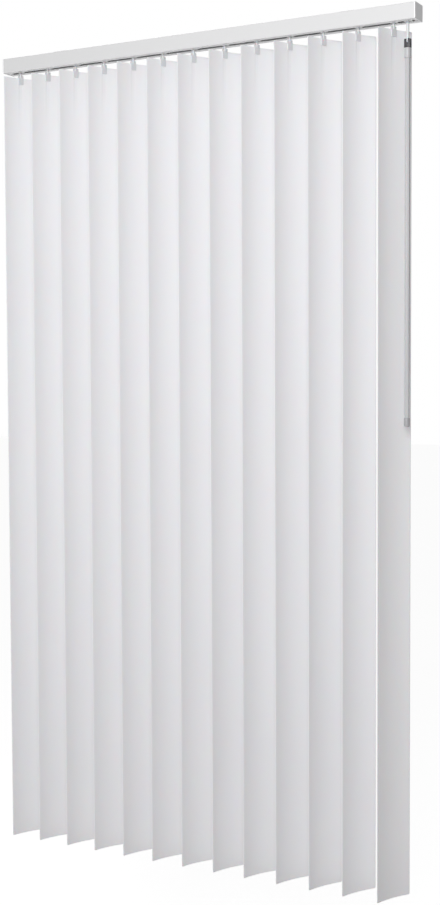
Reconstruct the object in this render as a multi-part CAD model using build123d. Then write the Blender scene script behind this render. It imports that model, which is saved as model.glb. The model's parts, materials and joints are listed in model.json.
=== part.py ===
"""Vertical blind: an aluminium headrail with thirteen curved plastic vanes and a tilt wand.

Millimetres. X runs along the headrail towards the wand, -Y faces the room, Z is up.
The origin is on the ceiling face of the mounting clips, midway along the headrail.
"""
from build123d import *
from math import asin, cos, degrees, pi, radians, sin, tan
import os

# ---- overall sizes -----------------------------------------------------------------------------
BLIND_WIDTH = 1000.0        # over the two end caps
BLIND_DROP = 1800.0         # from the ceiling face to the foot of the vanes
VANE_COUNT = 13

# ---- vanes -------------------------------------------------------------------------------------
VANE_WIDTH = 89.0           # along the chord of the curved section
VANE_THICKNESS = 0.8
VANE_CROWN = 4.5            # how far the middle of the section stands off its chord
VANE_PITCH = 76.0           # between neighbouring stems with the blind drawn
VANE_GAP_BELOW_RAIL = 12.0
VANE_REST_ANGLE = 63.0      # between the headrail and the vane's chord
STACK_PITCH = 17.0          # between neighbouring stems with the blind gathered
EDGE_TRIM = 0.1             # pared off each long edge to leave it square
FIRST_VANE_INSET = 35.0     # from the left end of the blind to the first stem
HOLE_WIDTH = 8.0            # punched hole near the top of each vane
HOLE_HEIGHT = 4.4
HOLE_CORNER = 1.0
HOLE_DOWN = 2.8             # from the vane's top edge to the hole
VANE_CORNER = 3.0           # rounding of the vane's four corners

# ---- headrail ----------------------------------------------------------------------------------
RAIL_DEPTH = 40.0
RAIL_HEIGHT = 32.0
RAIL_WALL = 1.3
RAIL_CORNER = 1.5
SLOT_WIDTH = 13.0           # in the underside, where the stems come through
CLIP_PROUD = 3.0            # the clips stand this far above the headrail
GROOVE_WIDTH = 26.0         # inside the groove that the clips hold
GROOVE_MOUTH = 20.0
GROOVE_DEPTH = 3.5

# ---- mounting clips ----------------------------------------------------------------------------
CLIP_SPACING = 700.0
CLIP_LENGTH = 32.0
CLIP_PLATE = 1.5
CLIP_SIDE_GAP = 0.5
SCREW_HOLE_R = 2.25
SCREW_HEAD_R = 4.2
SCREW_HEAD_DEPTH = 1.2

# ---- end caps ----------------------------------------------------------------------------------
CAP_PLATE = 2.0
CAP_OVERHANG = 0.8
CAP_CORNER = 2.0
CAP_PLUG_DEPTH = 8.0
CAP_PLUG_WALL = 1.6
CAP_GAP = 0.25
BEARING_R = 5.0
BEARING_LENGTH = 7.0

# ---- clearances --------------------------------------------------------------------------------
RUNNING_GAP = 0.08          # a shaft in its hole, on the radius
SLIDING_GAP = 0.3           # between faces that slide past each other
SPLINE_GAP = 0.25           # between the tilt rod and the bores that ride on it
OVERCUT = 1.0               # a cut runs this far past the face that it opens

# ---- gearing -----------------------------------------------------------------------------------
WORM_STARTS = 2
WHEEL_TEETH = 12
WORM_MODULE = 0.8           # square to the teeth
WORM_PITCH_R = 4.4
WHEEL_FACE = 5.0
DRIVE_TEETH = 8             # on each gear of the wand's 45 degree pair
DRIVE_FACE = 6.0
ADDENDUM = 0.9              # shares of the module
DEDENDUM = 1.25
ROOT_SHARE = 0.60           # tooth thickness, as a share of the tooth spacing
TIP_SHARE = 0.22

# ---- tilt rod ----------------------------------------------------------------------------------
ROD_R = 2.6
FLUTE_COUNT = 3
FLUTE_R = 0.9
FLUTE_AT = 2.9              # from the rod's axis to the centre of each flute
ROD_END_GAP = 0.5

# ---- carriers ----------------------------------------------------------------------------------
CARRIER_PLAY = 2.0          # between neighbouring carriers with the blind gathered
CARRIER_HEIGHT = 22.0
CARRIER_SIDE_GAP = 0.8
CARRIER_END_WALL = 1.5
CARRIER_FLOOR = 2.2
CARRIER_ROOF = 2.0
HUB_R = 3.6                 # of the worms, where they turn in the end walls
HUB_SHORT = 0.2             # the hubs stop this far inside the carrier's ends
THREAD_END_GAP = 0.3

# ---- spacer strips -----------------------------------------------------------------------------
LANES = 6                   # side by side, so that gathered strips pass each other
LANE_PITCH = 5.5
STRIP_WIDTH = 3.5
STRIP_THICKNESS = 0.5
STRIP_TAIL = 3.0            # behind the carrier's middle
STRIP_STOP = 0.6            # length of the turned-up end
STRIP_STOP_HEIGHT = 0.9
STAPLE_LENGTH = 3.0
STAPLE_POST = 0.9
STAPLE_BAR = 0.8
PEG_R = 0.8
PEG_HEIGHT = 1.3

# ---- stems -------------------------------------------------------------------------------------
STEM_R = 3.0
STEM_TOP_R = 2.4
STEM_COLLAR_R = 4.2
JAW_WIDTH = 12.0
JAW_THICKNESS = 1.4
JAW_GAP = 0.15              # on each face of the vane
JAW_LENGTH = 14.0           # below the vane's top edge
TOOTH_WIDTH = 5.0
TOOTH_HEIGHT = 2.6

# ---- wand and its truck ------------------------------------------------------------------------
WAND_OFFSET = 30.0          # from the last stem to the wand
TRUCK_LENGTH = 17.0
TOW_BAR_WIDTH = 6.0
TOW_BAR_HEIGHT = 4.0
SPINDLE_TAB = 3.0
PIN_DROP = 38.0             # from the headrail's underside to the swing pin
PIN_R = 1.5
JOINT_WIDTH = 12.0
JOINT_DEPTH = 10.0
JOINT_ABOVE_PIN = 4.5
JOINT_BELOW_PIN = 13.0
SOCKET_R = 6.2
SOCKET_LENGTH = 20.0
SOCKET_DEPTH = 16.0
WAND_FLATS = 9.0            # across the flats of the six-sided rod
WAND_EDGE = 0.8
WAND_LENGTH = 738.0
WAND_FIT = 0.05
TIP_R = 5.8
TIP_LENGTH = 18.0
TIP_DEPTH = 12.0
TIP_ROUND = 2.5

# ---- places that follow from the sizes ---------------------------------------------------------
RAIL_TOP = -CLIP_PROUD
RAIL_FOOT = RAIL_TOP - RAIL_HEIGHT
RAIL_LENGTH = BLIND_WIDTH - 2 * CAP_PLATE
CAVITY_HALF = RAIL_DEPTH / 2 - RAIL_WALL
GROOVE_FLOOR = RAIL_TOP - RAIL_WALL - GROOVE_DEPTH
CAVITY_TOP = GROOVE_FLOOR - RAIL_WALL
TRACK = RAIL_FOOT + RAIL_WALL

FIRST_VANE_X = -BLIND_WIDTH / 2 + FIRST_VANE_INSET
LAST_VANE_X = FIRST_VANE_X + (VANE_COUNT - 1) * VANE_PITCH
TRUCK_X = LAST_VANE_X + WAND_OFFSET
VANE_TOP = RAIL_FOOT - VANE_GAP_BELOW_RAIL
VANE_FOOT = -BLIND_DROP

CARRIER_LENGTH = STACK_PITCH - CARRIER_PLAY
CARRIER_FOOT = TRACK + SLIDING_GAP
CARRIER_TOP = CARRIER_FOOT + CARRIER_HEIGHT
CARRIER_WIDTH = 2 * (CAVITY_HALF - CARRIER_SIDE_GAP)
ROOM_FOOT = CARRIER_FOOT + CARRIER_FLOOR
ROOM_TOP = CARRIER_TOP - CARRIER_ROOF
GEAR_Z = (ROOM_FOOT + ROOM_TOP) / 2

WORM_LEAD_ANGLE = asin(WORM_STARTS * WORM_MODULE / (2 * WORM_PITCH_R))
WHEEL_PITCH_R = WHEEL_TEETH * WORM_MODULE / (2 * cos(WORM_LEAD_ANGLE))
WORM_LEAD = 2 * pi * WORM_PITCH_R * tan(WORM_LEAD_ANGLE)
ROD_Y = WORM_PITCH_R + WHEEL_PITCH_R
DRIVE_PITCH_R = ROD_Y / 2
DRIVE_MODULE = 2 * DRIVE_PITCH_R * cos(pi / 4) / DRIVE_TEETH

PIN_Z = RAIL_FOOT - PIN_DROP
JOINT_FOOT = PIN_Z - JOINT_BELOW_PIN
SOCKET_FOOT = JOINT_FOOT - SOCKET_LENGTH
WAND_TOP = SOCKET_FOOT + SOCKET_DEPTH
WAND_FOOT = WAND_TOP - WAND_LENGTH


def block(x0, x1, y0, y1, z0, z1):
    """A box between two corners."""
    return Pos((x0 + x1) / 2, (y0 + y1) / 2, (z0 + z1) / 2) * Box(x1 - x0, y1 - y0, z1 - z0)


def upright(radius, z0, z1, x=0.0, y=0.0):
    """A cylinder along Z from z0 to z1."""
    return Pos(x, y, (z0 + z1) / 2) * Cylinder(radius, z1 - z0)


def along_x(radius, x0, x1, y=0.0, z=0.0):
    """A cylinder along X from x0 to x1."""
    return Pos((x0 + x1) / 2, y, z) * Rot(0, 90, 0) * Cylinder(radius, x1 - x0)


def polar(radius, degree):
    return (radius * cos(radians(degree)), radius * sin(radians(degree)))


def toothed_face(teeth, root_r, tip_r):
    """The section of a gear or worm across its axis, with tooth 0 centred on +X."""
    half = 180 / teeth
    edges = []
    for tooth in range(teeth):
        middle = 2 * half * tooth
        rise = polar(root_r, middle - ROOT_SHARE * half)
        tip_in = polar(tip_r, middle - TIP_SHARE * half)
        tip_out = polar(tip_r, middle + TIP_SHARE * half)
        fall = polar(root_r, middle + ROOT_SHARE * half)
        next_rise = polar(root_r, middle + (2 - ROOT_SHARE) * half)
        edges.append(Line(rise, tip_in))
        edges.append(ThreePointArc(tip_in, polar(tip_r, middle), tip_out))
        edges.append(Line(tip_out, fall))
        edges.append(ThreePointArc(fall, polar(root_r, middle + half), next_rise))
    return Face(Wire(edges))


def twisted_gear(teeth, pitch_r, module, length, lead):
    """A right-handed gear or worm along Z, its middle at the origin and a tooth there on +X."""
    turn = 360 * length / lead
    face = toothed_face(teeth, pitch_r - DEDENDUM * module, pitch_r + ADDENDUM * module)
    face = Rot(0, 0, -turn / 2) * face
    body = Solid.extrude_linear_with_rotation(face, (0, 0, 0), (0, 0, length), turn)
    return Pos(0, 0, -length / 2) * body


def rod_section(gap):
    """The fluted section of the tilt rod, or with a gap the bore that rides on it."""
    section = Circle(ROD_R + gap)
    for turn in range(FLUTE_COUNT):
        at = polar(FLUTE_AT, 90 + 360 * turn / FLUTE_COUNT)
        section -= Pos(*at) * Circle(FLUTE_R - gap)
    return section


def rod_shape(gap, length):
    """The rod section drawn out along X, its middle at the origin."""
    return Rot(0, 90, 0) * Pos(0, 0, -length / 2) * extrude(rod_section(gap), length)


def make_headrail():
    section = Pos(0, RAIL_TOP - RAIL_HEIGHT / 2) * RectangleRounded(RAIL_DEPTH, RAIL_HEIGHT, RAIL_CORNER)
    inside = Pos(0, (RAIL_TOP - RAIL_WALL + TRACK) / 2) * Rectangle(
        2 * CAVITY_HALF, RAIL_TOP - RAIL_WALL - TRACK
    )
    groove_box = Pos(0, (RAIL_TOP + CAVITY_TOP) / 2) * Rectangle(
        GROOVE_WIDTH + 2 * RAIL_WALL, RAIL_TOP - CAVITY_TOP
    )
    groove = Pos(0, (RAIL_TOP - RAIL_WALL + GROOVE_FLOOR) / 2) * Rectangle(GROOVE_WIDTH, GROOVE_DEPTH)
    mouth = Pos(0, RAIL_TOP) * Rectangle(GROOVE_MOUTH, 2 * RAIL_WALL)
    slot = Pos(0, RAIL_FOOT) * Rectangle(SLOT_WIDTH, 4 * RAIL_WALL)
    section = section - inside + groove_box - groove - mouth - slot
    profile = Plane.YZ * section
    return Pos(-RAIL_LENGTH / 2, 0, 0) * extrude(profile, RAIL_LENGTH)


def make_clip(x):
    """One clip: a plate under the lips of the groove and a boss up to the ceiling."""
    plate_top = RAIL_TOP - RAIL_WALL
    plate_half = GROOVE_WIDTH / 2 - CLIP_SIDE_GAP
    boss_half = GROOVE_MOUTH / 2 - CLIP_SIDE_GAP
    foot = plate_top - CLIP_PLATE
    half = CLIP_LENGTH / 2
    clip = block(-half, half, -plate_half, plate_half, foot, plate_top)
    clip += block(-half, half, -boss_half, boss_half, plate_top, 0)
    clip = fillet(clip.edges().filter_by(Axis.Z).group_by(Axis.Z)[0], CLIP_SIDE_GAP)
    clip -= upright(SCREW_HOLE_R, foot - OVERCUT, OVERCUT)
    clip -= upright(SCREW_HEAD_R, foot - OVERCUT, foot + SCREW_HEAD_DEPTH)
    return Pos(x, 0, 0) * clip


def make_end_cap(side):
    """The cap of one end, with a plug inside the headrail and a bearing for the tilt rod."""
    inner = BLIND_WIDTH / 2 - CAP_PLATE
    outer = BLIND_WIDTH / 2
    plate_face = Plane.YZ * Pos(0, RAIL_TOP - RAIL_HEIGHT / 2) * RectangleRounded(
        RAIL_DEPTH + 2 * CAP_OVERHANG, RAIL_HEIGHT + CAP_OVERHANG, CAP_CORNER
    )
    cap = Pos(inner, 0, 0) * extrude(plate_face, CAP_PLATE)
    plug_half = CAVITY_HALF - CAP_GAP
    low = TRACK + CAP_GAP
    high = CAVITY_TOP - CAP_GAP
    plug = block(inner - CAP_PLUG_DEPTH, inner, -plug_half, plug_half, low, high)
    plug -= block(
        inner - CAP_PLUG_DEPTH - OVERCUT,
        inner,
        -plug_half + CAP_PLUG_WALL,
        plug_half - CAP_PLUG_WALL,
        low + CAP_PLUG_WALL,
        high - CAP_PLUG_WALL,
    )
    cap += plug
    cap += along_x(BEARING_R, inner - BEARING_LENGTH, inner, ROD_Y, GEAR_Z)
    cap -= along_x(ROD_R + RUNNING_GAP, inner - BEARING_LENGTH - OVERCUT, inner, ROD_Y, GEAR_Z)
    return cap if side > 0 else mirror(cap, Plane.YZ)


def make_tilt_rod():
    length = RAIL_LENGTH - 2 * ROD_END_GAP
    return Pos(0, ROD_Y, GEAR_Z) * rod_shape(0, length)


def make_housing(length):
    """The frame of a carrier or truck: open at the front and back, with holes for stem and hubs."""
    half = length / 2
    width = CARRIER_WIDTH / 2
    frame = block(-half, half, -width, width, CARRIER_FOOT, CARRIER_TOP)
    frame -= block(
        -half + CARRIER_END_WALL,
        half - CARRIER_END_WALL,
        -width - OVERCUT,
        width + OVERCUT,
        ROOM_FOOT,
        ROOM_TOP,
    )
    frame -= along_x(HUB_R + RUNNING_GAP, -half - OVERCUT, half + OVERCUT, ROD_Y, GEAR_Z)
    frame -= upright(STEM_R + RUNNING_GAP, CARRIER_FOOT - OVERCUT, ROOM_FOOT + OVERCUT)
    frame -= upright(STEM_TOP_R + RUNNING_GAP, ROOM_TOP - OVERCUT, CARRIER_TOP + OVERCUT)
    return frame


def lane_y(index):
    return (index % LANES - (LANES - 1) / 2) * LANE_PITCH


def make_staple(index):
    """The bridge on a carrier's roof that the spacer strip of the carrier before it runs through."""
    y = lane_y(index - 1)
    half = CARRIER_LENGTH / 2
    opening = STRIP_WIDTH / 2 + SLIDING_GAP
    under = CARRIER_TOP + 2 * SLIDING_GAP + STRIP_THICKNESS
    x0 = half - STAPLE_LENGTH
    outer = opening + STAPLE_POST
    staple = block(x0, half, y - outer, y + outer, CARRIER_TOP, under + STAPLE_BAR)
    return staple - block(x0 - OVERCUT, half + OVERCUT, y - opening, y + opening, CARRIER_TOP, under)


def make_strip(index):
    """The spacer strip that keeps the next carrier at its distance, seen from its own carrier."""
    y = lane_y(index)
    foot = CARRIER_TOP + SLIDING_GAP
    head = foot + STRIP_THICKNESS
    end = VANE_PITCH + CARRIER_LENGTH / 2 + SLIDING_GAP + STRIP_STOP
    half = STRIP_WIDTH / 2
    strip = block(-STRIP_TAIL, end, y - half, y + half, foot, head)
    strip += block(end - STRIP_STOP, end, y - half, y + half, head, head + STRIP_STOP_HEIGHT)
    return strip - upright(PEG_R + RUNNING_GAP, foot - OVERCUT, head + OVERCUT, 0, y)


def make_carrier(index):
    """Carrier number index, with the strip that reaches to the next one."""
    x = FIRST_VANE_X + index * VANE_PITCH
    body = make_housing(CARRIER_LENGTH)
    pieces = []
    if index > 0:
        body += make_staple(index)
    if index < VANE_COUNT - 1:
        y = lane_y(index)
        half = STRIP_WIDTH / 2
        body += block(
            -STRIP_TAIL, STRIP_TAIL, y - half, y + half, CARRIER_TOP, CARRIER_TOP + SLIDING_GAP
        )
        body += upright(PEG_R, CARRIER_TOP, CARRIER_TOP + PEG_HEIGHT, 0, y)
        pieces.append(make_strip(index))
    return [Pos(x, 0, 0) * piece for piece in [body, *pieces]]


def rides_on_rod(gear, length):
    """A gear along Z, given hubs and the fluted bore, turned to lie along the tilt rod."""
    hub_half = length / 2 - HUB_SHORT
    body = gear + upright(HUB_R, -hub_half, hub_half)
    return Pos(0, ROD_Y, GEAR_Z) * (Rot(0, 90, 0) * body - rod_shape(SPLINE_GAP, 2 * length))


def make_worm():
    thread = CARRIER_LENGTH - 2 * (CARRIER_END_WALL + THREAD_END_GAP)
    gear = twisted_gear(WORM_STARTS, WORM_PITCH_R, WORM_MODULE, thread, WORM_LEAD)
    return rides_on_rod(gear, CARRIER_LENGTH)


def make_drive_gear():
    thread = TRUCK_LENGTH - 2 * (CARRIER_END_WALL + THREAD_END_GAP)
    gear = twisted_gear(DRIVE_TEETH, DRIVE_PITCH_R, DRIVE_MODULE, thread, 2 * pi * DRIVE_PITCH_R)
    return rides_on_rod(gear, TRUCK_LENGTH)


def make_shaft(gear, face, foot):
    """An upright shaft with a gear level with the tilt rod, a collar under it and a top journal."""
    low = GEAR_Z - face / 2
    high = GEAR_Z + face / 2
    shaft = Pos(0, 0, GEAR_Z) * gear
    shaft += upright(STEM_TOP_R, high, CARRIER_TOP - SLIDING_GAP)
    shaft += upright(STEM_COLLAR_R, ROOM_FOOT + SLIDING_GAP, low)
    return shaft + upright(STEM_R, foot, ROOM_FOOT + SLIDING_GAP)


def make_stem():
    """The hanger of one vane, square to the chord: worm wheel, shaft, two jaws and a tooth."""
    wheel_lead = 2 * pi * WHEEL_PITCH_R / tan(WORM_LEAD_ANGLE)
    wheel = twisted_gear(WHEEL_TEETH, WHEEL_PITCH_R, WORM_MODULE, WHEEL_FACE, wheel_lead)
    shaft = make_shaft(wheel, WHEEL_FACE, VANE_TOP + SLIDING_GAP)
    inner = VANE_THICKNESS / 2 + JAW_GAP
    outer = inner + JAW_THICKNESS
    half = JAW_WIDTH / 2
    foot = VANE_TOP - JAW_LENGTH
    head = (VANE_TOP + RAIL_FOOT) / 2
    grip = block(-half, half, -outer, outer, foot, head)
    grip = fillet(grip.edges().filter_by(Axis.Y), JAW_THICKNESS)
    grip -= block(
        -half - OVERCUT, half + OVERCUT, -inner, inner, foot - OVERCUT, VANE_TOP + SLIDING_GAP
    )
    hook_top = VANE_TOP - HOLE_DOWN - SLIDING_GAP
    hook = block(-TOOTH_WIDTH / 2, TOOTH_WIDTH / 2, -inner, inner, hook_top - TOOTH_HEIGHT, hook_top)
    grip += hook
    return shaft + Rot(0, 0, VANE_REST_ANGLE) * grip


def make_vane():
    """One vane: a shallow arc in plan whose middle passes through the stem's axis."""
    half = VANE_WIDTH / 2
    radius = (half**2 + VANE_CROWN**2) / (2 * VANE_CROWN)
    reach = degrees(asin(half / radius))
    inner = radius - VANE_THICKNESS / 2
    outer = radius + VANE_THICKNESS / 2

    def at(r, angle):
        return (r * sin(radians(angle)), r * cos(radians(angle)) - radius)

    section = Face(
        Wire(
            [
                ThreePointArc(at(outer, -reach), at(outer, 0), at(outer, reach)),
                Line(at(outer, reach), at(inner, reach)),
                ThreePointArc(at(inner, reach), at(inner, 0), at(inner, -reach)),
                Line(at(inner, -reach), at(outer, -reach)),
            ]
        )
    )
    vane = extrude(Pos(0, 0, VANE_FOOT) * section, VANE_TOP - VANE_FOOT, dir=(0, 0, 1))
    middle = (VANE_TOP + VANE_FOOT) / 2
    outline = Plane.XZ * Pos(0, middle) * RectangleRounded(
        VANE_WIDTH - 2 * EDGE_TRIM, VANE_TOP - VANE_FOOT, VANE_CORNER
    )
    hole = Plane.XZ * Pos(0, VANE_TOP - HOLE_DOWN - HOLE_HEIGHT / 2) * RectangleRounded(
        HOLE_WIDTH, HOLE_HEIGHT, HOLE_CORNER
    )
    vane &= extrude(outline - hole, VANE_WIDTH, both=True)
    return Rot(0, 0, VANE_REST_ANGLE) * vane


def make_truck():
    """The truck that carries the wand, with the bar that tows the last carrier."""
    truck = make_housing(TRUCK_LENGTH)
    reach = WAND_OFFSET - CARRIER_LENGTH / 2
    truck += block(
        -reach,
        -TRUCK_LENGTH / 2,
        -CARRIER_WIDTH / 2,
        -CARRIER_WIDTH / 2 + TOW_BAR_WIDTH,
        CARRIER_FOOT,
        CARRIER_FOOT + TOW_BAR_HEIGHT,
    )
    return Pos(TRUCK_X, 0, 0) * truck


def make_spindle():
    """The wand's shaft in the truck, with its gear above and a drilled tab below."""
    gear = twisted_gear(DRIVE_TEETH, DRIVE_PITCH_R, DRIVE_MODULE, DRIVE_FACE, 2 * pi * DRIVE_PITCH_R)
    gear = Rot(0, 0, 180 / DRIVE_TEETH) * gear
    shoulder = PIN_Z + 2 * STEM_R
    spindle = make_shaft(gear, DRIVE_FACE, shoulder)
    spindle += block(-SPINDLE_TAB / 2, SPINDLE_TAB / 2, -STEM_R, STEM_R, PIN_Z, shoulder)
    spindle += along_x(STEM_R, -SPINDLE_TAB / 2, SPINDLE_TAB / 2, 0, PIN_Z)
    spindle -= along_x(PIN_R + RUNNING_GAP, -SPINDLE_TAB, SPINDLE_TAB, 0, PIN_Z)
    return Pos(TRUCK_X, 0, 0) * spindle


def six_sided(flats, z0, z1, edge):
    """An upright six-sided bar with rounded edges."""
    section = RegularPolygon(flats / 2, 6, major_radius=False)
    section = fillet(section.vertices(), edge)
    return Pos(0, 0, z0) * extrude(section, z1 - z0)


def make_wand():
    """The wand: a forked joint on the swing pin, the six-sided rod, and a tip at its foot."""
    slot_half = SPINDLE_TAB / 2 + SLIDING_GAP
    swing_room = STEM_R + 2 * SLIDING_GAP
    joint = block(
        -JOINT_WIDTH / 2,
        JOINT_WIDTH / 2,
        -JOINT_DEPTH / 2,
        JOINT_DEPTH / 2,
        JOINT_FOOT,
        PIN_Z + JOINT_ABOVE_PIN,
    )
    joint = fillet(joint.edges().filter_by(Axis.X), JOINT_ABOVE_PIN / 2)
    joint += upright(SOCKET_R, SOCKET_FOOT, JOINT_FOOT + JOINT_ABOVE_PIN / 2)
    joint -= block(
        -slot_half, slot_half, -SOCKET_R, SOCKET_R, PIN_Z - swing_room, PIN_Z + 2 * JOINT_ABOVE_PIN
    )
    joint += along_x(PIN_R, -slot_half, slot_half, 0, PIN_Z)
    joint -= six_sided(WAND_FLATS + 2 * WAND_FIT, SOCKET_FOOT - OVERCUT, WAND_TOP + WAND_FIT, WAND_EDGE)
    rod = six_sided(WAND_FLATS, WAND_FOOT, WAND_TOP, WAND_EDGE)
    tip_foot = WAND_FOOT + TIP_DEPTH - TIP_LENGTH
    tip = upright(TIP_R, tip_foot, tip_foot + TIP_LENGTH)
    tip = fillet(tip.edges().sort_by(Axis.Z)[0], TIP_ROUND)
    tip -= six_sided(
        WAND_FLATS + 2 * WAND_FIT, WAND_FOOT - WAND_FIT, WAND_FOOT + TIP_DEPTH + OVERCUT, WAND_EDGE
    )
    return [Pos(TRUCK_X, 0, 0) * piece for piece in (joint, rod, tip)]


def solids_of(shape):
    """The solids of one shape or of a list of shapes."""
    if isinstance(shape, (list, tuple)):
        return [solid for piece in shape for solid in piece.solids()]
    return list(shape.solids())


def save(node, shape):
    solids = solids_of(shape)
    whole = solids[0] if len(solids) == 1 else Compound(children=solids)
    export_step(whole, f"parts/{node}.step")


def main():
    os.makedirs("parts", exist_ok=True)
    save("headrail", make_headrail())
    save("end_caps", [make_end_cap(-1), make_end_cap(1)])
    save("mounting_clips", [make_clip(-CLIP_SPACING / 2), make_clip(CLIP_SPACING / 2)])
    save("tilt_rod", make_tilt_rod())
    worm = make_worm()
    stem = make_stem()
    vane = make_vane()
    for index in range(VANE_COUNT):
        at = Pos(FIRST_VANE_X + index * VANE_PITCH, 0, 0)
        number = f"{index + 1:02d}"
        save(f"carrier_{number}", make_carrier(index))
        save(f"worm_{number}", at * worm)
        save(f"stem_{number}", at * stem)
        save(f"vane_{number}", at * vane)
    save("wand_truck", make_truck())
    save("drive_gear", Pos(TRUCK_X, 0, 0) * make_drive_gear())
    save("wand_spindle", make_spindle())
    save("wand", make_wand())


main()
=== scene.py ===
"""Vertical blind: the finish of every part, the vanes and wand in full detail, and a stage for it.

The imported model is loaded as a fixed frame. Metres, X along the headrail, -Y towards the room,
Z up.
"""

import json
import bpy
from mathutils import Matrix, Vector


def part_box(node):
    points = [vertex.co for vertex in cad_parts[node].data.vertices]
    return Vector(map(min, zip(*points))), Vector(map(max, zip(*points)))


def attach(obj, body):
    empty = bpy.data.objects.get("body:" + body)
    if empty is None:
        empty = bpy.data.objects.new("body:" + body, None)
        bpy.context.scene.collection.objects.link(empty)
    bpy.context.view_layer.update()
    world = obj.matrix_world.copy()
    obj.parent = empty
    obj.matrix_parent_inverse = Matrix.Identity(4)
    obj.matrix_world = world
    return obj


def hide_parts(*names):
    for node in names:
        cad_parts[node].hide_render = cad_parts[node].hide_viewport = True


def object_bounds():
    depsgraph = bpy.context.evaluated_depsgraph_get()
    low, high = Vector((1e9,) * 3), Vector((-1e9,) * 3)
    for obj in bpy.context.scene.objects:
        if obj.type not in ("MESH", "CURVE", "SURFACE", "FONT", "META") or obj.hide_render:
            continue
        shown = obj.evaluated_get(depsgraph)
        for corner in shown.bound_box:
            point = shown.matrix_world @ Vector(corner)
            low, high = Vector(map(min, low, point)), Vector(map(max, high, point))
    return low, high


bl_info = {
    "name": "Vertical Blind",
    "version": (1, 0, 0),
    "blender": (4, 5, 0),
    "location": "View3D > Sidebar > Blind",
    "description": "Rolls the vanes, turns the wand and finishes every part of a vertical blind",
    "category": "Add Mesh",
}

from math import atan, cos, pi, radians, sin

import bmesh
import bpy
from mathutils import Matrix, Vector

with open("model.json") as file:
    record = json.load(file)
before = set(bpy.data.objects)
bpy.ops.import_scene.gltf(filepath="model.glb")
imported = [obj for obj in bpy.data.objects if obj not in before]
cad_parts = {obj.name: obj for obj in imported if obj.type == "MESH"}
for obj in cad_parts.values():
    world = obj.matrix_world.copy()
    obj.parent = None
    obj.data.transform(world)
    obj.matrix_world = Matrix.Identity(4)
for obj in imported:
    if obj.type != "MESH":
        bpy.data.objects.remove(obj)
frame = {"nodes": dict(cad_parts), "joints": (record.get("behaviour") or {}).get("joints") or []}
CAD_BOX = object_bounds()

NODES = frame["nodes"]
JOINTS = {joint["name"]: joint for joint in frame["joints"]}
VANE_NUMBERS = sorted(name[-2:] for name in NODES if name.startswith("vane_"))


def joint_place(name):
    """Where a joint of the frame is."""
    return Vector(JOINTS[name]["pos_m"])


# ---- sizes and colours that a user would change --------------------------------------------------


class VaneSizes(bpy.types.PropertyGroup):
    """The rolled vinyl vanes."""

    width: bpy.props.FloatProperty(
        name="Width", description="Across the curved vane, edge to edge",
        default=0.089, unit="LENGTH",
    )
    thickness: bpy.props.FloatProperty(
        name="Thickness", description="Of the vinyl", default=0.0008, precision=4, unit="LENGTH"
    )
    crown: bpy.props.FloatProperty(
        name="Crown", description="How far the middle stands off the chord",
        default=0.0045, unit="LENGTH",
    )
    turn: bpy.props.FloatProperty(
        name="Turn", description="From the headrail to the vane's chord",
        default=radians(63), subtype="ANGLE",
    )
    corner: bpy.props.FloatProperty(
        name="Corner", description="Rounding of the four corners", default=0.003, unit="LENGTH"
    )
    hole_width: bpy.props.FloatProperty(
        name="Hole width", description="Of the punched hanging hole", default=0.008, unit="LENGTH"
    )
    hole_height: bpy.props.FloatProperty(
        name="Hole height", description="Of the punched hanging hole", default=0.0044, unit="LENGTH"
    )
    hole_down: bpy.props.FloatProperty(
        name="Hole depth", description="From the top edge to the hole",
        default=0.0028, unit="LENGTH",
    )
    edge: bpy.props.FloatProperty(
        name="Edge softness", description="Rounding of the vinyl's edges",
        default=0.00022, unit="LENGTH",
    )
    sway: bpy.props.FloatProperty(
        name="Sway", description="Largest twist of a vane over its length",
        default=radians(0.9), subtype="ANGLE",
    )
    colour: bpy.props.FloatVectorProperty(
        name="Colour", description="Of the vinyl", subtype="COLOR", size=3,
        default=(0.86, 0.86, 0.88),
    )


class WandSizes(bpy.types.PropertyGroup):
    """The tilt wand: forked joint, six-sided rod and tip."""

    flats: bpy.props.FloatProperty(
        name="Flats", description="Across the flats of the rod", default=0.009, unit="LENGTH"
    )
    joint_width: bpy.props.FloatProperty(
        name="Joint width", description="Across the fork, along the pin",
        default=0.012, unit="LENGTH",
    )
    joint_depth: bpy.props.FloatProperty(
        name="Joint depth", description="Across the fork, square to the pin",
        default=0.010, unit="LENGTH",
    )
    joint_drop: bpy.props.FloatProperty(
        name="Joint drop", description="From the pin to the foot of the fork",
        default=0.013, unit="LENGTH",
    )
    joint_round: bpy.props.FloatProperty(
        name="Joint rounding", description="Of the fork's head, so that it swings clear",
        default=0.0024, unit="LENGTH",
    )
    fork_gap: bpy.props.FloatProperty(
        name="Fork gap", description="Between the fork's two cheeks", default=0.0036, unit="LENGTH"
    )
    pin_radius: bpy.props.FloatProperty(
        name="Pin radius", description="Of the swing pin", default=0.0015, unit="LENGTH"
    )
    socket_radius: bpy.props.FloatProperty(
        name="Socket radius", description="Of the round socket on the rod",
        default=0.0062, unit="LENGTH",
    )
    socket_length: bpy.props.FloatProperty(
        name="Socket length", description="Of the round socket on the rod",
        default=0.020, unit="LENGTH",
    )
    tip_radius: bpy.props.FloatProperty(
        name="Tip radius", description="Of the moulded tip", default=0.0058, unit="LENGTH"
    )
    tip_length: bpy.props.FloatProperty(
        name="Tip length", description="Of the moulded tip", default=0.018, unit="LENGTH"
    )
    joint_colour: bpy.props.FloatVectorProperty(
        name="Joint colour", description="Of the fork and its pin", subtype="COLOR", size=3,
        default=(0.045, 0.045, 0.05),
    )
    rod_colour: bpy.props.FloatVectorProperty(
        name="Rod colour", description="Of the six-sided rod and its socket",
        subtype="COLOR", size=3,
        default=(0.50, 0.50, 0.515),
    )
    tip_colour: bpy.props.FloatVectorProperty(
        name="Tip colour", description="Of the moulded tip", subtype="COLOR", size=3,
        default=(0.35, 0.35, 0.365),
    )


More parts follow.
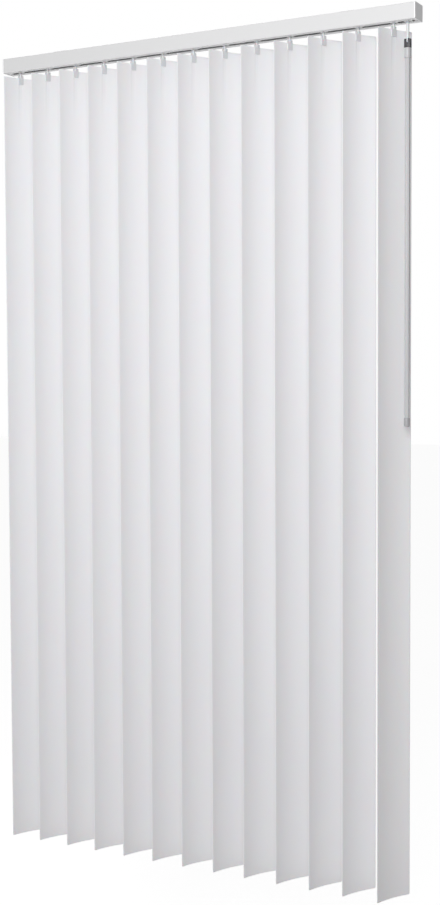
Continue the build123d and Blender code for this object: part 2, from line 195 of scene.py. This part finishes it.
class StageSizes(bpy.types.PropertyGroup):
    """The floor, the lights and the camera."""

    floor_drop: bpy.props.FloatProperty(
        name="Floor", description="From the foot of the vanes to the floor",
        default=0.55, unit="LENGTH",
    )
    floor_size: bpy.props.FloatProperty(
        name="Floor size", description="Edge of the square floor", default=60.0, unit="LENGTH"
    )
    sky: bpy.props.FloatProperty(
        name="Sky", description="Mean strength of the light from all around", default=0.34, min=0.0
    )
    key: bpy.props.FloatProperty(
        name="Key light", description="Strength of the large front light", default=1.0, min=0.0
    )
    lens: bpy.props.FloatProperty(
        name="Lens", description="Focal length of the camera, in millimetres", default=55.69
    )


# ---- finishes ------------------------------------------------------------------------------------


class Link:
    """A socket in a finish's node tree that takes part in Python sums."""

    def __init__(self, finish, socket):
        self.finish = finish
        self.socket = socket

    def sum(self, operation, *values):
        """A Math node on the values."""
        return self.finish.node("ShaderNodeMath", {"operation": operation}, dict(enumerate(values)))

    def __add__(self, other):
        return self.sum("ADD", self, other)

    __radd__ = __add__

    def __sub__(self, other):
        return self.sum("SUBTRACT", self, other)

    def __rsub__(self, other):
        return self.sum("SUBTRACT", other, self)

    def __mul__(self, other):
        return self.sum("MULTIPLY", self, other)

    __rmul__ = __mul__

    def over(self, least):
        """The value, or least where it is lower."""
        return self.sum("MAXIMUM", self, least)


class Nodes:
    """An empty node tree, filled one node at a time."""

    def __init__(self, owner):
        owner.use_nodes = True
        self.tree = owner.node_tree
        self.tree.nodes.clear()

    def node(self, kind, settings=None, values=None, output=0):
        """Adds a node, sets it, gives its sockets their values or links, and returns one output."""
        made = self.tree.nodes.new(kind)
        for key, value in (settings or {}).items():
            setattr(made, key, value)
        for key, value in (values or {}).items():
            self.feed(made.inputs[key], value)
        return None if output is None else Link(self, made.outputs[output])

    def feed(self, socket, value):
        """Gives a socket a link or a value of its own."""
        if isinstance(value, Link):
            self.tree.links.new(value.socket, socket)
        elif isinstance(value, (tuple, list)) and socket.type == "RGBA" and len(value) == 3:
            socket.default_value = (*value, 1.0)
        else:
            socket.default_value = value


class Finish(Nodes):
    """One material: a Principled shader, and the nodes that vary it over the surface."""

    def __init__(self, name, **constants):
        self.material = bpy.data.materials.new(name)
        super().__init__(self.material)
        self.shader = self.tree.nodes.new("ShaderNodeBsdfPrincipled")
        output = self.tree.nodes.new("ShaderNodeOutputMaterial")
        self.tree.links.new(self.shader.outputs["BSDF"], output.inputs["Surface"])
        self.set(**constants)

    def set(self, **looks):
        """Base_Color=..., Roughness=... and so on: an underscore stands for a space."""
        for key, value in looks.items():
            self.feed(self.shader.inputs[key.replace("_", " ")], value)
        return self

    def noise(self, size, stretch=(1.0, 1.0, 1.0), detail=2.0):
        """Noise from 0 to 1, with grains about size metres across, drawn out by stretch."""
        where = self.node("ShaderNodeTexCoord", output="Object")
        scale = tuple(1.0 / part for part in stretch)
        where = self.node("ShaderNodeMapping", None, {"Vector": where, "Scale": scale})
        values = {"Vector": where, "Scale": 1.0 / size, "Detail": detail}
        return self.node("ShaderNodeTexNoise", None, values)

    def blend(self, factor, first, second):
        """A colour between two."""
        values = {0: factor, 6: first, 7: second}
        return self.node("ShaderNodeMix", {"data_type": "RGBA"}, values, output=2)

    def bump(self, height, depth):
        """Relief from a height of 0 to 1 that is depth metres deep."""
        values = {"Height": height, "Distance": depth, "Strength": 1.0}
        self.set(Normal=self.node("ShaderNodeBump", None, values))
        return self


def tone(colour, amount):
    """A colour made a little lighter or darker."""
    return tuple(max(0.0, min(1.0, part * (1.0 + amount))) for part in colour)


def vinyl(colour):
    """Calendered vinyl: satin, a fine embossed grain, faint lines along its length."""
    finish = Finish("vane_vinyl", IOR=1.5, Subsurface_Weight=0.12, Subsurface_Scale=0.002)
    cloud = finish.noise(0.09, (1.0, 1.0, 4.0))
    finish.set(Base_Color=finish.blend(cloud, tone(colour, -0.012), tone(colour, 0.012)))
    grain = finish.noise(0.0009, (1.0, 1.0, 1.6), detail=3.0)
    lines = finish.noise(0.0016, (1.0, 1.0, 180.0), detail=1.0)
    finish.set(Roughness=0.40 + 0.10 * grain)
    return finish.bump(0.6 * grain + 0.4 * lines, 0.00003).material


def enamel(colour):
    """Stove enamel on an extrusion: faint orange peel over faint die lines."""
    finish = Finish("rail_enamel", IOR=1.5, Coat_Weight=0.15, Coat_Roughness=0.2)
    peel = finish.noise(0.004, detail=1.0)
    lines = finish.noise(0.0007, (600.0, 1.0, 1.0), detail=1.0)
    finish.set(Base_Color=finish.blend(peel, tone(colour, -0.01), tone(colour, 0.01)))
    finish.set(Roughness=0.30 + 0.08 * peel)
    return finish.bump(0.7 * peel + 0.3 * lines, 0.00002).material


def moulded(name, colour, rough, milky=0.0, grain_size=0.0006):
    """Injection-moulded plastic with a spark-eroded grain."""
    finish = Finish(name, IOR=1.49, Subsurface_Weight=milky, Subsurface_Scale=0.002)
    grain = finish.noise(grain_size, detail=3.0)
    flow = finish.noise(0.02, (1.0, 1.0, 2.5))
    finish.set(Base_Color=finish.blend(flow, tone(colour, -0.03), tone(colour, 0.03)))
    finish.set(Roughness=rough - 0.05 + 0.10 * grain)
    return finish.bump(grain, 0.00002).material


def brushed(name, colour, rough, along):
    """Metal with fine lines along one direction."""
    finish = Finish(name, Metallic=1.0)
    lines = finish.noise(0.0004, along, detail=2.0)
    stain = finish.noise(0.015, detail=3.0)
    finish.set(Base_Color=finish.blend(stain, tone(colour, -0.06), tone(colour, 0.04)))
    finish.set(Roughness=rough + 0.12 * lines)
    return finish.bump(lines, 0.000012).material


# Colours of the pieces that keep the frame's shape. The headrail's white is darker than the vanes'
# so that the two look alike under the stage's one lamp.
RAIL_WHITE = (0.66, 0.66, 0.665)
CAP_WHITE = (0.88, 0.88, 0.89)
CLIP_ZINC = (0.62, 0.62, 0.63)
ROD_ALUMINIUM = (0.74, 0.75, 0.77)
CARRIER_WHITE = (0.78, 0.78, 0.77)
GEAR_NATURAL = (0.84, 0.82, 0.76)
STEM_MILKY = (0.66, 0.67, 0.69)


# ---- modelling -----------------------------------------------------------------------------------

WELD = 0.000002         # points nearer than this are one
HAIR = 0.0001           # a margin that no size depends on
OVERCUT = 0.01          # how far a tool stands out of a thin piece


def deselect():
    """Leaves edit mode and selects nothing."""
    if bpy.context.object and bpy.context.object.mode != "OBJECT":
        bpy.ops.object.mode_set(mode="OBJECT")
    bpy.ops.object.select_all(action="DESELECT")


def make_active(piece):
    """Selects one piece and nothing else."""
    deselect()
    piece.select_set(True)
    bpy.context.view_layer.objects.active = piece


def edit(piece):
    """Opens a piece in edit mode."""
    make_active(piece)
    bpy.ops.object.mode_set(mode="EDIT")


def leave():
    """Back to object mode."""
    bpy.ops.object.mode_set(mode="OBJECT")


def select_edges(piece, test):
    """Selects the edges of a piece in edit mode that pass a test."""
    shape = bmesh.from_edit_mesh(piece.data)
    bpy.ops.mesh.select_all(action="DESELECT")
    bpy.ops.mesh.select_mode(type="EDGE")
    for edge in shape.edges:
        if test(edge):
            edge.select_set(True)
    shape.select_flush_mode()
    bmesh.update_edit_mesh(piece.data)


def modify(piece, kind, **settings):
    """Adds a modifier and applies it."""
    make_active(piece)
    modifier = piece.modifiers.new(kind.lower(), kind)
    for key, value in settings.items():
        setattr(modifier, key, value)
    bpy.ops.object.modifier_apply(modifier=modifier.name)


def settle(piece, name):
    """Puts the place of a piece into its mesh and gives it its name."""
    make_active(piece)
    bpy.ops.object.transform_apply(location=True, rotation=True, scale=True)
    piece.name = name
    piece.data.name = name
    return piece


def box_between(low, high):
    """A box primitive between two corners."""
    low, high = Vector(low), Vector(high)
    deselect()
    bpy.ops.mesh.primitive_cube_add(size=1.0, location=(low + high) / 2)
    piece = bpy.context.object
    piece.scale = high - low
    bpy.ops.object.transform_apply(location=False, rotation=False, scale=True)
    return piece


def round_bar(radius, low, high, sides, centre, axis="Z"):
    """A cylinder primitive from low to high: upright, or along X with a centre in Y and Z."""
    deselect()
    if axis == "Z":
        where = (centre[0], centre[1], (low + high) / 2)
        turn = (0.0, 0.0, 0.0)
    else:
        where = ((low + high) / 2, centre[0], centre[1])
        turn = (0.0, pi / 2, 0.0)
    bpy.ops.mesh.primitive_cylinder_add(
        vertices=sides, radius=radius, depth=high - low, location=where, rotation=turn
    )
    return bpy.context.object


def cut(piece, tool, operation="DIFFERENCE"):
    """Takes the tool out of the piece, or joins it on, removes the tool and welds the seam."""
    make_active(tool)
    bpy.ops.object.transform_apply(location=True, rotation=True, scale=True)
    make_active(piece)
    bpy.ops.object.transform_apply(location=True, rotation=True, scale=True)
    modify(piece, "BOOLEAN", operation=operation, object=tool, solver="EXACT")
    bpy.data.objects.remove(tool)
    edit(piece)
    bpy.ops.mesh.select_all(action="SELECT")
    bpy.ops.mesh.remove_doubles(threshold=WELD)
    leave()


def smooth(piece, angle):
    """Shades a piece smooth, but for edges sharper than the angle in degrees."""
    make_active(piece)
    bpy.ops.object.shade_smooth_by_angle(angle=radians(angle))


def dress(piece, material):
    """Gives a piece one material all over."""
    piece.data.materials.clear()
    piece.data.materials.append(material)


def dress_node(name, material):
    """Gives a node of the frame one material all over."""
    dress(NODES[name], material)


# ---- vanes ---------------------------------------------------------------------------------------

VANE_COLUMNS = 24       # across, for the bend
VANE_ROWS = 14          # down, for the twist
HOLE_CORNER = 0.001
SWAY_STEP = 2.4         # from one vane to the next, so that no two neighbours twist alike
SWAY_START = 0.6


def flat_vane(sizes, top, foot):
    """The vane as punched: a flat strip with rounded corners and its hanging hole, across X."""
    half_angle = 2 * atan(2 * sizes.crown / sizes.width)
    radius = sizes.width / 2 / sin(half_angle)
    flat_half = radius * half_angle
    half_thick = sizes.thickness / 2
    vane = box_between((-flat_half, -half_thick, foot), (flat_half, half_thick, top))
    edit(vane)
    upright_across = Vector((0, 1, 0))

    def along_thickness(edge):
        way = edge.verts[1].co - edge.verts[0].co
        return abs(way.normalized().dot(upright_across)) > 0.99

    select_edges(vane, along_thickness)
    bpy.ops.mesh.bevel(offset=sizes.corner, segments=6, affect="EDGES")
    leave()
    hole_half = sizes.hole_width / 2
    hole_top = top - sizes.hole_down
    hole = box_between(
        (-hole_half, -OVERCUT, hole_top - sizes.hole_height),
        (hole_half, OVERCUT, hole_top),
    )
    edit(hole)
    select_edges(hole, along_thickness)
    bpy.ops.mesh.bevel(offset=HOLE_CORNER, segments=5, affect="EDGES")
    leave()
    cut(vane, hole)
    modify(
        vane, "BEVEL", width=sizes.edge, segments=2, limit_method="ANGLE", angle_limit=radians(60)
    )
    edit(vane)
    for column in range(1, VANE_COLUMNS):
        x = -flat_half + 2 * flat_half * column / VANE_COLUMNS
        bpy.ops.mesh.select_all(action="SELECT")
        bpy.ops.mesh.bisect(plane_co=(x, 0, 0), plane_no=(1, 0, 0))
    for row in range(1, VANE_ROWS):
        z = foot + (top - foot) * row / VANE_ROWS
        bpy.ops.mesh.select_all(action="SELECT")
        bpy.ops.mesh.bisect(plane_co=(0, 0, z), plane_no=(0, 0, 1))
    leave()
    return vane, half_angle


def roll_vane(vane, half_angle, turn, sway):
    """Bends the flat strip to its arc, twists it a little and turns it to its angle."""
    modify(vane, "SIMPLE_DEFORM", deform_method="BEND", deform_axis="Z", angle=-2 * half_angle)
    modify(vane, "SIMPLE_DEFORM", deform_method="TWIST", deform_axis="Z", angle=sway)
    vane.rotation_euler.z = turn


# ---- wand ----------------------------------------------------------------------------------------

JOINT_EDGE = 0.0006     # rounding of the fork's other edges
GAP_DEPTH = 0.0036      # of the fork's gap, below the pin
PIN_PROUD = 0.0006      # of the fork's cheeks, at each end
PIN_EDGE = 0.0004
SOCKET_EDGE = 0.0007
GROOVE_UP = 0.0024      # from the socket's foot
GROOVE_WIDTH = 0.001
GROOVE_CORE = 0.9       # share of the socket's radius that the groove leaves
ROD_EDGE = 0.0007
ROD_SEAT = 0.0016       # how far the rod goes into the socket
ROD_LIFT = 0.006        # from the tip's foot to the rod's own
BORE = 0.585            # radius over the rod's flats, just outside the rod's corners
TIP_EDGE = 0.0022
FINE = 64               # sides of a round piece that is seen close


# ---- operators -----------------------------------------------------------------------------------


class BLIND_OT_headrail(bpy.types.Operator):
    """Finish the headrail, its end caps, clips and tilt rod"""

    bl_idname = "blind.headrail"
    bl_label = "Headrail"

    def execute(self, context):
        zinc = brushed("clip_steel", CLIP_ZINC, 0.32, (200.0, 1.0, 1.0))
        aluminium = brushed("rod_aluminium", ROD_ALUMINIUM, 0.28, (600.0, 1.0, 1.0))
        dress_node("headrail", enamel(RAIL_WHITE))
        dress_node("end_caps", moulded("cap_plastic", CAP_WHITE, 0.5))
        dress_node("mounting_clips", zinc)
        dress_node("tilt_rod", aluminium)
        return {"FINISHED"}


class BLIND_OT_carriers(bpy.types.Operator):
    """Finish the carriers, worms and stems that each vane hangs from, and the wand's truck"""

    bl_idname = "blind.carriers"
    bl_label = "Carriers and stems"

    def execute(self, context):
        body = moulded("carrier_plastic", CARRIER_WHITE, 0.5)
        gear = moulded("gear_plastic", GEAR_NATURAL, 0.38, milky=0.2)
        stem = moulded("stem_plastic", STEM_MILKY, 0.42, milky=0.2)
        for number in VANE_NUMBERS:
            dress_node("carrier_" + number, body)
            dress_node("worm_" + number, gear)
            dress_node("stem_" + number, stem)
        dress_node("wand_truck", body)
        dress_node("drive_gear", gear)
        dress_node("wand_spindle", stem)
        return {"FINISHED"}


class BLIND_OT_vanes(bpy.types.Operator):
    """Punch, roll and hang the vanes"""

    bl_idname = "blind.vanes"
    bl_label = "Vanes"

    def execute(self, context):
        sizes = context.scene.blind_vanes
        material = vinyl(tuple(sizes.colour))
        low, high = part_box("vane_" + VANE_NUMBERS[0])
        pattern, half_angle = flat_vane(sizes, high.z, low.z)
        for count, number in enumerate(VANE_NUMBERS):
            deselect()
            vane = pattern.copy()
            vane.data = pattern.data.copy()
            context.scene.collection.objects.link(vane)
            sway = sizes.sway * sin(SWAY_STEP * count + SWAY_START)
            roll_vane(vane, half_angle, sizes.turn, sway)
            hinge = joint_place("tilt_" + number)
            vane.location = (hinge.x, hinge.y, 0.0)
            settle(vane, "rolled_vane_" + number)
            smooth(vane, 30.0)
            dress(vane, material)
            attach(vane, "vane_" + number)
            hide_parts("vane_" + number)
        bpy.data.objects.remove(pattern)
        return {"FINISHED"}


class BLIND_OT_wand(bpy.types.Operator):
    """Model the wand's forked joint, six-sided rod and tip"""

    bl_idname = "blind.wand"
    bl_label = "Wand"

    def execute(self, context):
        sizes = context.scene.blind_wand
        low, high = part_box("wand")
        pin = joint_place("wand_swing")
        rod_finish = moulded(
            "wand_rod_plastic", tuple(sizes.rod_colour), 0.38, milky=0.1, grain_size=0.004
        )
        pieces = (
            self.joint(sizes, pin, high.z),
            self.socket(sizes, pin, rod_finish),
            self.rod(sizes, pin, low.z, rod_finish),
            self.tip(sizes, pin, low.z),
        )
        for piece in pieces:
            smooth(piece, 35.0)
            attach(piece, "wand")
        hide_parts("wand")
        return {"FINISHED"}

    def joint(self, sizes, pin, head):
        """A fork whose two cheeks hold the pin."""
        half = sizes.joint_width / 2
        deep = sizes.joint_depth / 2
        foot = pin.z - sizes.joint_drop
        body = box_between((pin.x - half, pin.y - deep, foot), (pin.x + half, pin.y + deep, head))
        just_under = max(vert.co.z for vert in body.data.vertices) - HAIR

        def across_the_head(edge):
            way = edge.verts[1].co - edge.verts[0].co
            return min(vert.co.z for vert in edge.verts) > just_under and abs(way.x) > abs(way.y)

        edit(body)
        select_edges(body, across_the_head)
        bpy.ops.mesh.bevel(offset=sizes.joint_round, segments=6, affect="EDGES")
        leave()
        modify(
            body, "BEVEL",
            width=JOINT_EDGE, segments=3, limit_method="ANGLE", angle_limit=radians(50),
        )
        gap = box_between(
            (pin.x - sizes.fork_gap / 2, pin.y - 2 * deep, pin.z - GAP_DEPTH),
            (pin.x + sizes.fork_gap / 2, pin.y + 2 * deep, head + deep),
        )
        cut(body, gap)
        reach = half + PIN_PROUD
        shank = round_bar(
            sizes.pin_radius, pin.x - reach, pin.x + reach, 32, (pin.y, pin.z), axis="X"
        )
        modify(shank, "BEVEL", width=PIN_EDGE, segments=3, limit_method="ANGLE")
        cut(body, shank, "UNION")
        settle(body, "wand_joint")
        dress(body, moulded("wand_joint_plastic", tuple(sizes.joint_colour), 0.35))
        return body

    def socket(self, sizes, pin, finish):
        """A round ferrule with a groove above its foot, open below for the rod."""
        head = pin.z - sizes.joint_drop
        foot = head - sizes.socket_length
        centre = (pin.x, pin.y)
        radius = sizes.socket_radius
        socket = round_bar(radius, foot, head, FINE, centre)
        modify(socket, "BEVEL", width=SOCKET_EDGE, segments=3, limit_method="ANGLE")
        groove_low = foot + GROOVE_UP
        ring = round_bar(radius * 1.2, groove_low, groove_low + GROOVE_WIDTH, FINE, centre)
        cut(ring, round_bar(radius * GROOVE_CORE, foot, head, FINE, centre))
        cut(socket, ring)
        cut(socket, round_bar(sizes.flats * BORE, foot - 0.002, foot + ROD_SEAT, FINE, centre))
        settle(socket, "wand_socket")
        dress(socket, finish)
        return socket

    def rod(self, sizes, pin, foot, finish):
        """Six sides with softened edges, from inside the socket to inside the tip."""
        low = foot + ROD_LIFT
        high = pin.z - sizes.joint_drop - sizes.socket_length + ROD_SEAT
        rod = round_bar(sizes.flats / 2 / cos(pi / 6), low, high, 6, (pin.x, pin.y))
        modify(
            rod, "BEVEL", width=ROD_EDGE, segments=4, limit_method="ANGLE", angle_limit=radians(50)
        )
        settle(rod, "wand_rod")
        dress(rod, finish)
        return rod

    def tip(self, sizes, pin, foot):
        """A short cap with a rounded rim and foot."""
        tip = round_bar(sizes.tip_radius, foot, foot + sizes.tip_length, FINE, (pin.x, pin.y))
        modify(tip, "BEVEL", width=TIP_EDGE, segments=6, limit_method="ANGLE")
        settle(tip, "wand_tip")
        dress(tip, moulded("wand_tip_plastic", tuple(sizes.tip_colour), 0.35))
        return tip


FLOOR_GLOW = 0.72                       # the floor's own light: it shows in gloss, not in matt faces
FLOOR_GREYS = ((0.54, 0.54, 0.54), (0.56, 0.56, 0.56))
SKY_SLANT = 0.16                        # how far the sky brightens to the left, and overhead
SKY_BELOW = 2.2                         # how fast it brightens under the blind
SKY_STEEP = -0.5                        # height on the unit sphere where that begins
LAMP_PLACE = Vector((0.82, -2.75, 1.05))        # from the blind's middle
LAMP_SIZE = 1.8
LAMP_POWER = 74.0
CAMERA_PLACE = Vector((1.4877, -2.6384, -0.739))
CAMERA_YAW = radians(28.571)            # to the left of square on
CAMERA_PITCH = radians(2.967)           # downwards
CAMERA_ROLL = radians(-0.261)


class BLIND_OT_stage(bpy.types.Operator):
    """Lay a pale floor, hang soft lights and set the camera"""

    bl_idname = "blind.stage"
    bl_label = "Stage"

    def execute(self, context):
        sizes = context.scene.blind_stage
        low, high = CAD_BOX
        self.floor(sizes, low.z)
        self.lights(sizes, (low + high) / 2)
        self.camera(sizes)
        scene = context.scene
        scene.view_settings.view_transform = "Standard"
        scene.view_settings.look = "None"
        return {"FINISHED"}

    def floor(self, sizes, foot):
        """A wide pale floor that shows in the blind's gloss but doesn't light its matt faces."""
        deselect()
        where = (0, 0, foot - sizes.floor_drop)
        bpy.ops.mesh.primitive_plane_add(size=sizes.floor_size, location=where)
        floor = bpy.context.object
        settle(floor, "floor")
        finish = Finish("floor_paint", Specular_IOR_Level=0.0, Emission_Color=(1.0, 1.0, 1.0))
        finish.set(Emission_Strength=FLOOR_GLOW, Roughness=0.9)
        finish.set(Base_Color=finish.blend(finish.noise(0.6), *FLOOR_GREYS))
        dress(floor, finish.material)
        floor.visible_diffuse = False

    def lights(self, sizes, middle):
        """White to the eye, with a dimmer sky on the blind and one large soft lamp in front."""
        world = bpy.data.worlds.new("surroundings")
        bpy.context.scene.world = world
        sky = Nodes(world)
        way = sky.node("ShaderNodeTexCoord", output="Generated")
        right, above = (
            sky.node("ShaderNodeSeparateXYZ", None, {"Vector": way}, output=axis) for axis in "XZ"
        )
        steep = (SKY_STEEP - above).over(0.0)
        glow = sizes.sky - SKY_SLANT * right + SKY_SLANT * above + SKY_BELOW * steep
        seen = sky.node("ShaderNodeLightPath", output="Is Camera Ray")
        values = {"Color": (1.0, 1.0, 1.0), "Strength": seen + (1 - seen) * glow}
        light = sky.node("ShaderNodeBackground", None, values)
        sky.node("ShaderNodeOutputWorld", None, {"Surface": light}, output=None)
        deselect()
        place = middle + LAMP_PLACE
        bpy.ops.object.light_add(type="AREA", location=place)
        lamp = bpy.context.object
        lamp.name = "key"
        lamp.data.size = LAMP_SIZE
        lamp.data.energy = LAMP_POWER * sizes.key
        lamp.visible_camera = False
        lamp.rotation_euler = (middle - place).to_track_quat("-Z", "Y").to_euler()

    def camera(self, sizes):
        """Looks along its yaw and pitch, then rolls about that line."""
        deselect()
        bpy.ops.object.camera_add(location=CAMERA_PLACE)
        camera = bpy.context.object
        camera.name = "camera"
        camera.data.sensor_width = 36.0
        camera.data.lens = sizes.lens
        yaw, pitch, roll = CAMERA_YAW, CAMERA_PITCH, CAMERA_ROLL
        forward = Vector((-sin(yaw) * cos(pitch), cos(yaw) * cos(pitch), -sin(pitch)))
        level = Vector((cos(yaw), sin(yaw), 0.0))
        head = level.cross(forward)
        right = cos(roll) * level + sin(roll) * head
        up = -sin(roll) * level + cos(roll) * head
        turn = Matrix((right, up, -forward)).transposed()
        camera.rotation_euler = turn.to_euler()
        bpy.context.scene.camera = camera


class BLIND_PT_panel(bpy.types.Panel):
    """The steps of the blind, in order"""

    bl_idname = "BLIND_PT_panel"
    bl_label = "Vertical Blind"
    bl_space_type = "VIEW_3D"
    bl_region_type = "UI"
    bl_category = "Blind"

    def draw(self, context):
        for step in STEPS:
            self.layout.operator(step.bl_idname)
        for name in GROUPS:
            group = getattr(context.scene, name)
            box = self.layout.box()
            for key in group.__annotations__:
                box.prop(group, key)


GROUPS = {"blind_vanes": VaneSizes, "blind_wand": WandSizes, "blind_stage": StageSizes}
STEPS = (BLIND_OT_headrail, BLIND_OT_carriers, BLIND_OT_vanes, BLIND_OT_wand, BLIND_OT_stage)


def register():
    for kind in (*GROUPS.values(), *STEPS, BLIND_PT_panel):
        bpy.utils.register_class(kind)
    for name, kind in GROUPS.items():
        setattr(bpy.types.Scene, name, bpy.props.PointerProperty(type=kind))


def unregister():
    for name in GROUPS:
        delattr(bpy.types.Scene, name)
    for kind in reversed((*GROUPS.values(), *STEPS, BLIND_PT_panel)):
        bpy.utils.unregister_class(kind)


def main():
    register()
    bpy.ops.blind.headrail()
    bpy.ops.blind.carriers()
    bpy.ops.blind.vanes()
    bpy.ops.blind.wand()
    bpy.ops.blind.stage()


if __name__ == "__main__":
    main()
